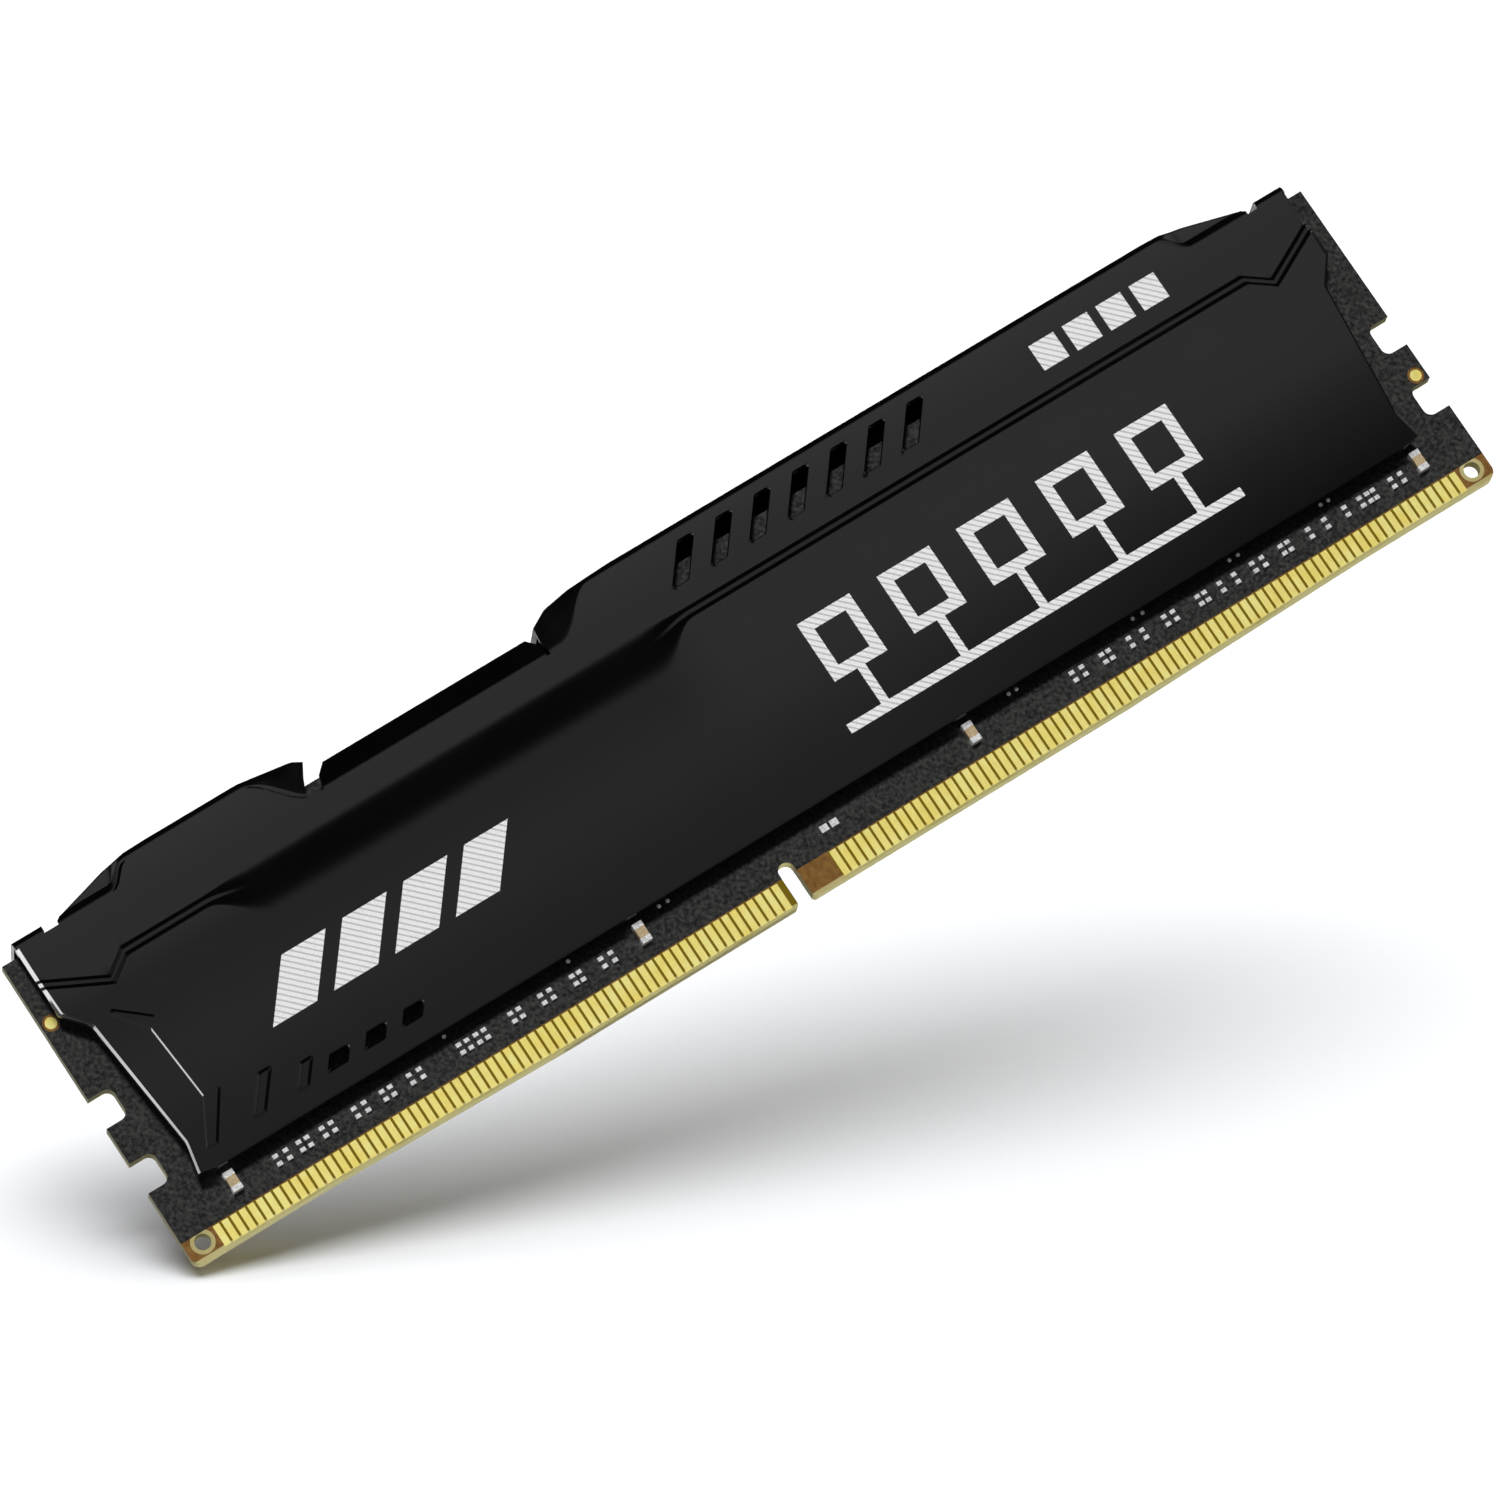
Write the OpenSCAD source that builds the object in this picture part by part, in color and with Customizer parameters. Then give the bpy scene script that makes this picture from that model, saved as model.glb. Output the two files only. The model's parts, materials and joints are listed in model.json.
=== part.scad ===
// Desktop memory module with 288 edge contacts and two stamped heat spreaders.
//
// Frame: X runs along the board, +Z points from the contact edge up to the folded top edge.
// The front spreader and contacts 145 to 288 face -Y. The origin is on the contact edge:
// half way along it, half way through the board, at the lowest point of its bow.
// Outlines are drawn upright in X and Z, and "depth" is the distance out from mid-board.

/* [Board] */
// Length of the board
board_w = 133.35; // [132:0.05:135]
// Height of the board from the lowest point of its contact edge
board_h = 31.25; // [30.75:0.05:31.4]
// Thickness of the board with its solder mask
board_t = 1.4; // [1.3:0.05:1.5]
// How far the middle of the contact edge bows down below its ends
bow = 0.5; // [0.2:0.1:0.6]
// Thickness of the solder mask and of the plated copper
skin_t = 0.03; // [0.02:0.01:0.05]

/* [Contacts] */
// Distance between neighbouring contacts
pitch = 0.85; // [0.8:0.01:0.85]
// Width of one contact
contact_w = 0.6; // [0.4:0.05:0.7]
// Height of the top of every contact
contact_top = 2.72; // [2.4:0.02:3]
// Bare laminate left below every contact
contact_gap = 0.22; // [0.1:0.02:0.4]
// Number of contacts left of the key slot
left_count = 67; // [60:1:67]
// Number of contacts right of the key slot
right_count = 77; // [70:1:77]
// Width of the key slot
key_w = 1.5; // [1.3:0.05:1.6]
// Height of the top of the key slot
key_top = 3.95; // [3.6:0.05:4.2]

/* [Holes and notches] */
// Diameter of the two corner holes
corner_hole_d = 1.45; // [1.2:0.05:1.6]
// Depth of the latch notches in the board's ends
notch_depth = 2.2; // [2:0.05:2.4]
// Height of each latch notch
notch_h = 3; // [2.6:0.1:3.2]

/* [Packages] */
// Size of one memory package along the board
dram_w = 7.5; // [7:0.1:9]
// Size of one memory package up the board
dram_h = 11; // [10:0.1:12]
// Height of one memory package above the solder mask, solder balls included
dram_t = 1.15; // [1:0.05:1.2]
// Distance between neighbouring memory packages
dram_pitch = 13.2; // [10:0.1:13.4]

/* [Heat spreaders] */
// Height of the folded top edge
top_h = 34.04; // [33.9:0.02:34.2]
// Depth of the flat faces from mid-board
face_d = 3.35; // [3.2:0.05:3.6]
// Thickness of the spreader sheet
sheet_t = 0.9; // [0.7:0.05:0.95]
// Height of the embossed bars above the face
emboss = 0.25; // [0.1:0.05:0.3]
// How far the upper panel stands back from the main panel below the crease
panel_step = 0.5; // [0.2:0.05:0.6]
// Sideways offset of the glued spreaders on the board
spreader_shift = -0.25; // [-0.4:0.05:0.4]
// Number of slanted vents
vent_count = 7; // [3:1:8]
// Distance between neighbouring vents
vent_pitch = 3.95; // [3.5:0.05:4.2]
// Thickness of the printed marks
ink_t = 0.02; // [0.01:0.01:0.04]

/* [Hidden] */
$fn = 48;
sides = ["front", "back"];
dram_per_side = 8;
// How far a cut runs past the surface it opens
over = 1;

// Colours
laminate_color = [0.60, 0.54, 0.36];
mask_color = [0.07, 0.07, 0.08];
gold_color = [0.93, 0.76, 0.34];
tin_color = [0.80, 0.80, 0.78];
package_color = [0.06, 0.06, 0.065];
pad_color = [0.55, 0.57, 0.60];
spreader_color = [0.13, 0.13, 0.135];
resistor_color = [0.05, 0.05, 0.05];
capacitor_color = [0.66, 0.56, 0.40];
ink_color = [0.90, 0.90, 0.90];

// Depths, counted outwards from mid-board
half_t = board_t / 2;
core_half = half_t - skin_t;
dram_out = half_t + dram_t;
sheet_in = face_d - sheet_t;
panel_d = face_d - panel_step;
panel_in = sheet_in - panel_step;

// Contact edge: heights and places along the board, counted from its left end
end_flat = 13.55;
left_low = 36.5;
right_low = 94.3;
right_end_flat = 119.8;
bottom_corner_r = 0.9;
left_first = 3.35;
right_first = left_first + 73 * pitch;
key_x = 61.1;
key_chamfer = 0.25;
mask_bottom = 2.85;

// Latch notches and corner holes
notch_bottoms = [8, 14.6];
notch_r = 0.75;
corner_hole_in = 1.65;
corner_hole_z = bow + 1.55;

// Small parts on the board, counted from its left end
resistor_z = 4.65;
resistor_w = 0.48;
resistor_l = 1.1;
resistor_t = 0.35;
resistor_end = 0.36;
resistors_left = [10.7, 11.7, 13, 13.8, 15.3, 16.2, 18.5, 19.5, 21.3, 22.1, 24, 25,
    29, 29.8, 30.7, 31.5, 34.2, 35, 37.2, 38.1, 40.4, 41.1, 43.3, 44.3];
resistors_right = [91.6, 92.6, 94.7, 95.4, 97.5, 98.9, 101.2, 102.1, 104.7, 105.4, 107, 108.5,
    110.4, 111.4, 113.4, 114.1, 116.3, 118, 120.1, 121.7, 122.5, 123.1, 125, 126];
capacitor_x = [6.5, 47.5, 81.2, 128];
capacitor_w = 0.95;
capacitor_l = 1.9;
capacitor_z = 5.05;
capacitor_t = 0.85;
capacitor_end = 0.5;
decoupling_w = 0.5;
decoupling_l = 1;
decoupling_t = 0.5;
decoupling_end = 0.25;
decoupling_rows = [14, 20.5];
bare_pad_x = [65.9, 66.9];
bare_pad_size = [0.75, 0.62];
bare_pad_z = 4.7;
test_pad_x = [28.4, 40.9, 50.1, 51, 86, 86.8, 98.9, 99.9, 109, 109.9, 118.6, 119.4];
test_pad_z = 6.35;
test_pad_d = 0.36;
fiducials = [[0.9, 24.9], [132.4, 11.8]];
fiducial_d = 1.05;
fiducial_clear_d = 1.5;
// How much narrower a ceramic body is than its tinned ends
body_inset = 0.04;

// Memory packages
dram_z = 17;
dram_first = 15.2;
spd_size = [2, 3];
spd_t = 0.75;

// Thermal pads
pad_half_w = 59.5;
pad_bottom = 10.8;
pad_top = 23.2;

// Heat spreader outline, counted from the spreader's own middle
spreader_bottom = 6.35;
end_x = 65;
right_edge = [[60.8, spreader_bottom], [62.35, 6.7], [61.8, 9.5], [63.15, 22.3], [end_x, 24.6]];
fold_low = 31.8;
fold_high = 33.64;
fold_dip = 30.05;
shoulder = [52.8, 55.2];
dip_left = [-40.8, -35.8];
dip_right = [-11.2, -6.2];
dip_flange = [-35.2, -12.9];
tab_in = 62.3;
seam_gap = 0.04;
roof_t = 0.6;
roof_d = 2.45;
dip_roof_d = 1.6;
roof_lap = 0.6;
root = 0.4;
wall_lap = 0.15;
wall_in = 1.3;

// Ridges of the folded edge, from left to right, and the feet of the walls below them
ridge_left = [[-60.3, 32.2], [-55.4, 33.6], [-53.2, 33.98], [-51, top_h], [-42, top_h], [-37.1, 33.3],
    [-35.6, 32.4]];
foot_left = [[-37, 29.8], [-41, 32.4], [-52.5, 32.4], [-55.5, 31], [-60.3, 31]];
ridge_right = [[-12.6, 32.4], [-10.7, 33.4], [-8, 33.85], [-4, top_h], [51.5, top_h], [53.4, 33.98],
    [55.6, 33.6], [60.9, 32.2]];
foot_right = [[60.9, 31], [55.5, 31], [52.5, 32.4], [-6, 32.4], [-10, 29.8], [-12.2, 29.3]];
dip_ridge = 32.1;
tab_ridge = 32.15;

// Crease along the spreader: two steps with a ledge between them, and one long bevel below the dip
crease_line = [[-66, 28.1], [-59.5, 24.8], [-57.3, 26.4], [57.3, 26.4], [59.5, 24.8], [66, 28.1]];
ledge_half = 0.32;
bevel_x = [-45, -4.5];
bevel_bottom = 23.5;
bevel_top = 26.72;

// Embossed bars (each its start, width and height), small windows and vents
bent_rib = [[-61.5, 22.4], [-61.2, 22.8], [-58.1, 20.3], [-56.8, 12], [-59.6, 7.9],
    [-60.7, 8.1], [-58.5, 12.2], [-59.1, 19.3]];
bar_bottom = 8.1;
slant = 0.8;
emboss_root = 0.1;
tall_bar = [-56.2, 1.5, 3.4];
short_bar = [-51.8, 1.4, 2.3];
window_count = 3;
window_start = -48.4;
window_pitch = 3.7;
window_w = 1.9;
window_h = 1.25;
window_bottom = 8.35;
vent_bottom = 29.05;
vent_h = 3.4;
vent_w = 1.6;
vent_first = -0.35;

// Printed marks: a bank of slanted blocks, a row of chip symbols on a bus line, four squares
block_count = 4;
block_w = 4.4;
block_pitch = 6.1;
block_h = 5;
block_start = -50.3;
block_z = 14.1;
chip_count = 5;
chip_pitch = 8.2;
chip_start = 9.5;
chip_z = 14.6;
chip_size = [5.4, 6];
chip_line = 1.1;
chip_leg_w = 0.8;
bus_z = 10.4;
bus_h = 0.9;
bus_end = 4;
square_count = 4;
square_size = 2.6;
square_pitch = 3.5;
square_start = 37.9;
square_z = 28.7;

// Turns a place counted from the board's left end into X
function bx(x) = x - board_w / 2;

// Smooth step from 0 at a to 1 at b
function ease(x, a, b) = (1 - cos(180 * min(1, max(0, (x - a) / (b - a))))) / 2;

// Height of the fold between the flat face and the folded top edge
function fold_z(x) =
    fold_low
    + (fold_high - fold_low) * (ease(x, -shoulder[1], -shoulder[0]) - ease(x, shoulder[0], shoulder[1]))
    - (fold_high - fold_dip) * (ease(x, dip_left[0], dip_left[1]) - ease(x, dip_right[0], dip_right[1]));

// Extrudes an outline drawn in X and Z between two depths, on the front or the back
module plate(depth_in, depth_out, side = "front") {
    mirror([0, side == "back" ? 1 : 0, 0])
        rotate([90, 0, 0])
            translate([0, 0, depth_in])
                linear_extrude(depth_out - depth_in)
                    children();
}

module rect(x, z, w, h) {
    translate([x - w / 2, z - h / 2]) square([w, h]);
}

module slanted_bar(x, z, w, h) {
    polygon([[x, z], [x + w, z], [x + w + slant * h, z + h], [x + slant * h, z + h]]);
}

// ---- Board ----

// Notch open at the left, with two rounded inner corners
module notch_outline() {
    translate([-over, 0]) square([notch_depth - notch_r + over, notch_h]);
    translate([0, notch_r]) square([notch_depth, notch_h - 2 * notch_r]);
    for (z = [notch_r, notch_h - notch_r])
        translate([notch_depth - notch_r, z]) circle(notch_r);
}

module key_outline() {
    translate([key_x, key_top - key_w / 2]) circle(key_w / 2);
    translate([key_x - key_w / 2, -over]) square([key_w, key_top - key_w / 2 + over]);
    polygon([[key_x - key_w / 2 - key_chamfer, 0], [key_x - key_w / 2, key_chamfer],
        [key_x + key_w / 2, key_chamfer], [key_x + key_w / 2 + key_chamfer, 0]]);
}

module corner_outline() {
    difference() {
        translate([-over, bow - over]) square(bottom_corner_r + over);
        translate([bottom_corner_r, bow + bottom_corner_r]) circle(bottom_corner_r);
    }
}

module board_outline() {
    translate([-board_w / 2, 0])
        difference() {
            polygon([[0, bow], [end_flat, bow], [left_low, 0], [right_low, 0],
                [right_end_flat, bow], [board_w, bow], [board_w, board_h], [0, board_h]]);
            key_outline();
            for (z = notch_bottoms) {
                translate([0, z]) notch_outline();
                translate([board_w, z]) mirror([1, 0]) notch_outline();
            }
            corner_outline();
            translate([board_w, 0]) mirror([1, 0]) corner_outline();
            for (x = [corner_hole_in, board_w - corner_hole_in])
                translate([x, corner_hole_z]) circle(d = corner_hole_d);
        }
}

module board() {
    color(laminate_color) plate(-core_half, core_half) board_outline();
}

module solder_mask(side) {
    color(mask_color)
        plate(core_half, half_t, side)
            difference() {
                board_outline();
                translate([-board_w, -over]) square([2 * board_w, mask_bottom + over]);
                for (f = fiducials)
                    translate([bx(f[0]), f[1]]) circle(d = fiducial_clear_d);
            }
}

// Height of the contact edge at a place counted from the left end
function edge_z(x) = lookup(x, [[end_flat, bow], [left_low, 0], [right_low, 0], [right_end_flat, bow]]);

module contacts(side, first, count) {
    color(gold_color)
        plate(core_half, half_t, side)
            for (k = [0:count - 1]) {
                x = first + k * pitch;
                low = edge_z(x) + contact_gap;
                translate([bx(x) - contact_w / 2, low]) square([contact_w, contact_top - low]);
            }
}

// ---- Packages and small parts ----

// X of one of the eight packages on a side, with the wide gap in the middle
function dram_x(k) = (k <= 4 ? -1 : 1) * (dram_first + (k <= 4 ? 4 - k : k - 5) * dram_pitch);

module dram(side, k) {
    color(package_color) plate(half_t, dram_out, side) rect(dram_x(k), dram_z, dram_w, dram_h);
}

module spd_eeprom() {
    color(package_color) plate(half_t, half_t + spd_t, "back") rect(0, dram_z, spd_size[0], spd_size[1]);
}

module thermal_pad(side) {
    color(pad_color)
        plate(dram_out, sheet_in, side)
            translate([-pad_half_w, pad_bottom]) square([2 * pad_half_w, pad_top - pad_bottom]);
}

// Middle, or ceramic, stretch of an upright two-ended part
module body_outline(x, z, w, l, end) {
    rect(x, z, w - body_inset, l - 2 * end);
}

// The two tinned ends of an upright two-ended part
module ends_outline(x, z, w, l, end) {
    for (s = [-1, 1]) rect(x, z + s * (l - end) / 2, w, end);
}

module resistors(side, ends) {
    for (x = concat(resistors_left, resistors_right))
        if (ends)
            color(tin_color) plate(half_t, half_t + resistor_t, side)
                ends_outline(bx(x), resistor_z, resistor_w, resistor_l, resistor_end);
        else
            color(resistor_color) plate(half_t, half_t + resistor_t, side)
                body_outline(bx(x), resistor_z, resistor_w, resistor_l, resistor_end);
}

module capacitors(side, ends) {
    for (x = capacitor_x)
        if (ends)
            color(tin_color) plate(half_t, half_t + capacitor_t, side)
                ends_outline(bx(x), capacitor_z, capacitor_w, capacitor_l, capacitor_end);
        else
            color(capacitor_color) plate(half_t, half_t + capacitor_t, side)
                body_outline(bx(x), capacitor_z, capacitor_w, capacitor_l, capacitor_end);
}

// Decoupling capacitors stand beside every package, in two rows
module decoupling(side, ends) {
    for (k = [1:dram_per_side], z = decoupling_rows) {
        x = dram_x(k) + (k <= 4 ? 1 : -1) * dram_pitch / 2;
        if (ends)
            color(tin_color) plate(half_t, half_t + decoupling_t, side)
                ends_outline(x, z, decoupling_w, decoupling_l, decoupling_end);
        else
            color(capacitor_color) plate(half_t, half_t + decoupling_t, side)
                body_outline(x, z, decoupling_w, decoupling_l, decoupling_end);
    }
}

module fiducial_dots(side) {
    color(gold_color)
        plate(core_half, half_t, side)
            for (f = fiducials) translate([bx(f[0]), f[1]]) circle(d = fiducial_d);
}

module bare_pads() {
    color(tin_color)
        plate(half_t, half_t + skin_t)
            for (x = bare_pad_x) rect(bx(x), bare_pad_z, bare_pad_size[0], bare_pad_size[1]);
}

module test_pads() {
    color(tin_color)
        plate(half_t, half_t + 2 * skin_t)
            for (x = test_pad_x) translate([bx(x), test_pad_z]) circle(d = test_pad_d);
}

// ---- Heat spreader ----

module face_outline() {
    steps = 130;
    last = len(right_edge) - 1;
    polygon(concat(
        right_edge,
        [for (k = [0:steps]) let (x = end_x * (1 - 2 * k / steps)) [x, fold_z(x)]],
        [for (k = [last:-1:0]) [-right_edge[k][0], right_edge[k][1]]]
    ));
}

// Everything on the spreader above the crease line raised by a height
module above_crease(rise) {
    last = len(crease_line) - 1;
    polygon(concat(
        [for (p = crease_line) p + [0, rise]],
        [[crease_line[last][0], top_h + over], [crease_line[0][0], top_h + over]]
    ));
}

module crease_bevel_cut() {
    beam(bevel_x[0], bevel_x[1])
        polygon([[face_d + over, bevel_bottom], [face_d, bevel_bottom], [panel_d, bevel_top],
            [face_d + over, bevel_top]]);
}

// The sheet's upright part: main panel, ledge and upper panel
module panels() {
    difference() {
        plate(panel_in, face_d) face_outline();
        plate(panel_in - over, sheet_in)
            difference() {
                face_outline();
                above_crease(-2 * ledge_half);
            }
        plate(face_d - panel_step / 2, face_d + over) above_crease(-ledge_half);
        plate(panel_d, face_d + over) above_crease(ledge_half);
        crease_bevel_cut();
    }
}

module vents_outline() {
    for (k = [0:vent_count - 1])
        slanted_bar(vent_first + k * vent_pitch, vent_bottom, vent_w, vent_h);
}

module windows_outline() {
    for (k = [0:window_count - 1])
        slanted_bar(window_start + k * window_pitch, window_bottom, window_w, window_h);
}

module embossed_outline() {
    polygon(bent_rib);
    for (b = [tall_bar, short_bar]) slanted_bar(b[0], bar_bottom, b[1], b[2]);
}

// Extrudes an outline drawn in depth and height along X, from a to b
module beam(a, b) {
    translate([a, 0, 0])
        rotate([90, 0, 90])
            linear_extrude(b - a)
                mirror([1, 0])
                    children();
}

// Straight stretch of folded edge: bevel from the face in to the ridge at a depth, then the roof
module straight_fold(a, b, bend, ridge, depth = roof_d) {
    beam(a, b)
        polygon([[panel_d, bend - root], [panel_d, bend], [depth, ridge], [seam_gap, ridge],
            [seam_gap, ridge - roof_t], [depth - roof_lap, ridge - roof_t], [panel_in, bend - root / 2],
            [panel_in, bend - root]]);
}

// Set-back stretch of folded edge under a sloping ridge: an upright wall and its roof
module set_back_fold(ridge, foot) {
    count = len(ridge) - 1;
    plate(wall_in, panel_in + wall_lap) polygon(concat(ridge, foot));
    plate(seam_gap, panel_in + wall_lap)
        polygon(concat(ridge, [for (k = [count:-1:0]) ridge[k] - [0, roof_t]]));
}

module roofs() {
    set_back_fold(ridge_left, foot_left);
    set_back_fold(ridge_right, foot_right);
    straight_fold(-shoulder[0], dip_left[0], fold_high, top_h);
    straight_fold(dip_right[1], shoulder[0], fold_high, top_h);
    straight_fold(dip_flange[0], dip_flange[1], fold_dip, dip_ridge, dip_roof_d);
    straight_fold(-end_x, -tab_in, fold_low, tab_ridge);
    straight_fold(tab_in, end_x, fold_low, tab_ridge);
}

module heat_spreader(side) {
    color(spreader_color)
        mirror([0, side == "back" ? 1 : 0, 0])
            translate([spreader_shift, 0, 0]) {
                difference() {
                    union() {
                        panels();
                        roofs();
                    }
                    plate(panel_in - over, face_d + over) {
                        windows_outline();
                        if (side == "front") vents_outline();
                    }
                }
                plate(face_d - emboss_root, face_d + emboss) embossed_outline();
            }
}

// ---- Printed marks ----

module chip_symbol(x) {
    difference() {
        rect(x, chip_z + chip_size[1] / 2, chip_size[0], chip_size[1]);
        rect(x, chip_z + chip_size[1] / 2, chip_size[0] - 2 * chip_line, chip_size[1] - 2 * chip_line);
    }
    rect(x, (chip_z + bus_z) / 2, chip_leg_w, chip_z - bus_z);
}

module printed_marks(side) {
    last = chip_start + (chip_count - 1) * chip_pitch;
    color(ink_color) {
        plate(face_d, face_d + ink_t, side)
            translate([spreader_shift, 0]) {
                for (k = [0:block_count - 1])
                    slanted_bar(block_start + k * block_pitch, block_z, block_w, block_h);
                for (k = [0:chip_count - 1]) chip_symbol(chip_start + k * chip_pitch);
                rect((chip_start + last) / 2, bus_z, last - chip_start + 2 * bus_end, bus_h);
            }
        plate(panel_d, panel_d + ink_t, side)
            translate([spreader_shift, 0])
                for (k = [0:square_count - 1])
                    translate([square_start + k * square_pitch, square_z]) square(square_size);
    }
}

board();
for (s = sides) {
    solder_mask(s);
    contacts(s, left_first, left_count);
    contacts(s, right_first, right_count);
    for (k = [1:dram_per_side])
        dram(s, k);
    thermal_pad(s);
    heat_spreader(s);
    resistors(s, false);
    resistors(s, true);
    capacitors(s, false);
    capacitors(s, true);
    decoupling(s, false);
    decoupling(s, true);
    fiducial_dots(s);
    printed_marks(s);
}
spd_eeprom();
bare_pads();  // bare_pads_front
test_pads();  // test_pads_front
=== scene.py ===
"""Looks of the desktop memory module: stamped heat spreaders, materials, light and camera.

Sizes are in millimetres, in the frame of the CAD model: X along the board, Z up from the contact
edge, "depth" out from mid-board. "s" is a place along a spreader, counted from its own middle.
"""

import bpy
import json
import math
from mathutils import Matrix, Vector


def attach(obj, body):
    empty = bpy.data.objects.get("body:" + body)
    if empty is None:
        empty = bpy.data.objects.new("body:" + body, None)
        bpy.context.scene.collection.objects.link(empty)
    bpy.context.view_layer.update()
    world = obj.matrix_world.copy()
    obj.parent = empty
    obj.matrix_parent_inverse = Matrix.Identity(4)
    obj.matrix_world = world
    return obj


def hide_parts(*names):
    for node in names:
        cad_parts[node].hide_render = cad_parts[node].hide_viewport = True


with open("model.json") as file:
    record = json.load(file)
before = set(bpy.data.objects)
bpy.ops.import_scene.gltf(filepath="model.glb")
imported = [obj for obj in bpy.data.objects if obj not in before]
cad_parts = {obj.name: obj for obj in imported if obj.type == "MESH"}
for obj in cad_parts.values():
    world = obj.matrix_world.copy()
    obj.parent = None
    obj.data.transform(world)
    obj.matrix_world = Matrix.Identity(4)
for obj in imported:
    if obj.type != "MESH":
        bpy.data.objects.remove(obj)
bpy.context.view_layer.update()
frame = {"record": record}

MM = 0.001
SIDES = {"front": -1, "back": 1}

# ---- Heat spreader sizes ----
SHIFT = -0.25
FACE_D = 3.35
PANEL_D = 2.85
SHEET_T = 0.9
FLANGE_T = 0.5
ROOF_D = 2.45
DIP_ROOF_D = 1.6
WALL_D = 2.1
WALL_LEAN = 0.07
WALL_FOOT = 0.42
SEAM_D = 0.05
BEND = 0.4
MIN_RISE = 0.15
STEP_SHARE = 0.6
STEP_R = 0.12
RIDGE_R = 0.16
SIDE_BEVEL = 0.3
BOTTOM_BEVEL = 0.12
BEVEL_NEAR = 0.1
BOTTOM = 6.35
END_S = 65.0
STRAIGHT_S = 57.0
EDGE = [(6.7, 62.35), (9.5, 61.8), (22.3, 63.15), (24.6, END_S)]
CORNER_S = 60.8
TOP = 34.04

FOLD_LOW = 31.8
FOLD_HIGH = 33.64
FOLD_DIP = 30.05
SHOULDER = (52.8, 55.2)
DIP_LEFT = (-40.8, -35.8)
DIP_RIGHT = (-11.2, -6.2)

CREASE = [(-66.0, 28.1), (-59.5, 24.8), (-57.3, 26.4), (57.3, 26.4), (59.5, 24.8), (66.0, 28.1)]
STEPS = (0.59, 0.29, -0.13, -0.43)
BEVEL_TOP = 26.95
BEVEL_BOTTOM = 23.4
BEVEL_LEFT = (-49.4, -44.4)
BEVEL_RIGHT = (-5.4, -0.4)
BEVEL_LEDGE = (1.05, 1.3)
STEP_ROUND = 0.1
BEVEL_ROUND = (1.1, 0.5)
LEDGE_ROUND = 0.05
CREASE_BELOW = 2.5
CREASE_ABOVE = 1.2
CORNER_NEAR = 0.12

RIB = [(-61.4, 22.2), (-61.0, 22.75), (-58.1, 20.3), (-56.8, 12.0), (-59.6, 7.9), (-60.7, 8.1),
       (-58.5, 12.2), (-59.1, 19.3)]
RIB_LEVELS = [(-0.2, -0.1), (0.24, 0.12), (0.27, 0.12)]
BAR_LEVELS = [(-0.2, -0.1), (0.26, 0.13), (0.32, 0.13)]
STEEP = 0.5
LEFT_FACING = 0.85
SLANT = 0.8
BAR_Z = 8.1
WINDOW_Z = 8.35
BARS = [(-56.2, 1.5, 3.4), (-51.8, 1.4, 2.3)]
WINDOW = {"count": 3, "start": -48.4, "pitch": 3.7, "w": 1.9, "h": 1.25}
VENT = {"count": 7, "start": -0.35, "pitch": 3.95, "w": 1.6, "h": 3.4, "z": 29.05}

RIDGE_LEFT = [(-61.0, 32.1), (-60.3, 32.2), (-55.4, 33.6), (-53.2, 33.98), (-51.0, TOP),
              (-42.0, TOP), (-37.1, 33.3), (-35.4, 32.3)]
RIDGE_RIGHT = [(-12.7, 32.3), (-10.7, 33.4), (-8.0, 33.85), (-4.0, TOP), (51.5, TOP), (53.4, 33.98),
               (55.6, 33.6), (60.9, 32.2), (61.4, 32.1)]
DIP_RIDGE = 32.1
TAB_RIDGE = 32.15
RAMP = (53.2, 55.0)

STATION_STEP = 0.5
FLANGE_STEP = 0.4
LOW_ROWS = 40
HIGH_ROWS = 12
MARK_R = 0.35
WINDOW_R = 0.3
VENT_R = 0.25
CUT_DEPTH = 2.0
CUT_PAST = 0.02
WINDOW_FLARE = 0.12
VENT_FLARE = 0.1
SMOOTH_DEG = 40


# ---- Shape functions ----

def mix(a, b, t):
    return a + (b - a) * t


def ease(x, a, b):
    """Smooth step from 0 at a to 1 at b."""
    t = min(1.0, max(0.0, (x - a) / (b - a)))
    return (1 - math.cos(math.pi * t)) / 2


def along(points, x):
    """Straight-line interpolation through (x, y) points, held level past both ends."""
    if x <= points[0][0]:
        return points[0][1]
    for (x0, y0), (x1, y1) in zip(points, points[1:]):
        if x <= x1:
            return mix(y0, y1, (x - x0) / (x1 - x0))
    return points[-1][1]


def fold_z(s):
    hump = ease(s, -SHOULDER[1], -SHOULDER[0]) - ease(s, *SHOULDER)
    dip = ease(s, *DIP_LEFT) - ease(s, *DIP_RIGHT)
    return FOLD_LOW + (FOLD_HIGH - FOLD_LOW) * hump - (FOLD_HIGH - FOLD_DIP) * dip


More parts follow.
